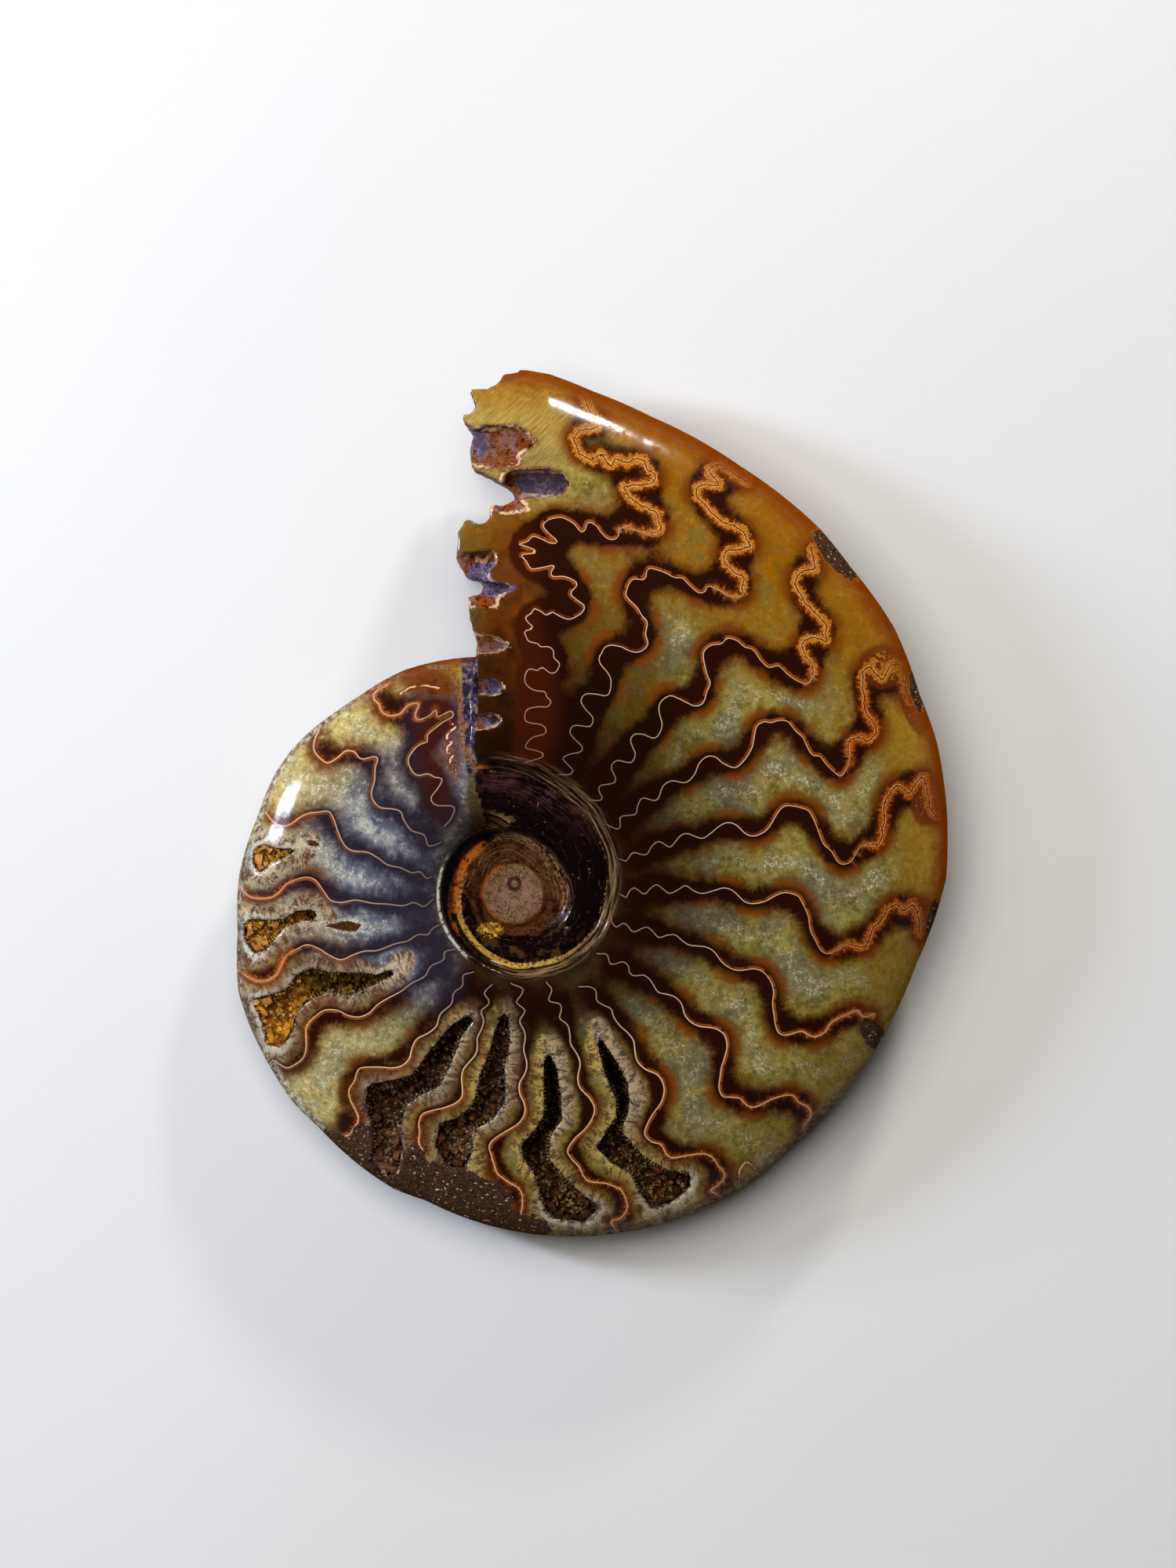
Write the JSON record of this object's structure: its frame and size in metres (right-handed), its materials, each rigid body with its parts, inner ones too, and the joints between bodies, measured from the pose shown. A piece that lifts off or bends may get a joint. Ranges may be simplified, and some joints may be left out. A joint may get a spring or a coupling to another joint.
{
  "type": "polished ammonite fossil",
  "caption": "Flat-coiled ammonite shell lying on its ground back, with a polished domed face, crystal-lined hollows, an open navel and a broken, fluted mouth.",
  "frame": {"origin": "middle of the bounding box's underside, in the plane of the ground back", "axes": "+Z is square to the ground back and points out of the polished face; +Y runs from the far venter towards the mouth, along the shell's length; +X completes the right-handed set"},
  "size_m": [0.0988, 0.1204, 0.0232],
  "materials": {
    "fossil_shell": "polished",
    "golden_calcite": "rough crystal",
    "brown_calcite": "rough crystal"
  },
  "bodies": {
    "root": {"ammonite": "fossil_shell", "crystals_left_upper": "golden_calcite", "crystals_left_middle": "golden_calcite", "crystals_left_lower": "golden_calcite", "crystals_bottom_left": "brown_calcite", "crystals_bottom_middle": "brown_calcite", "crystals_bottom_centre": "brown_calcite", "crystals_bottom_right": "brown_calcite"}
  },
  "joints": []
}
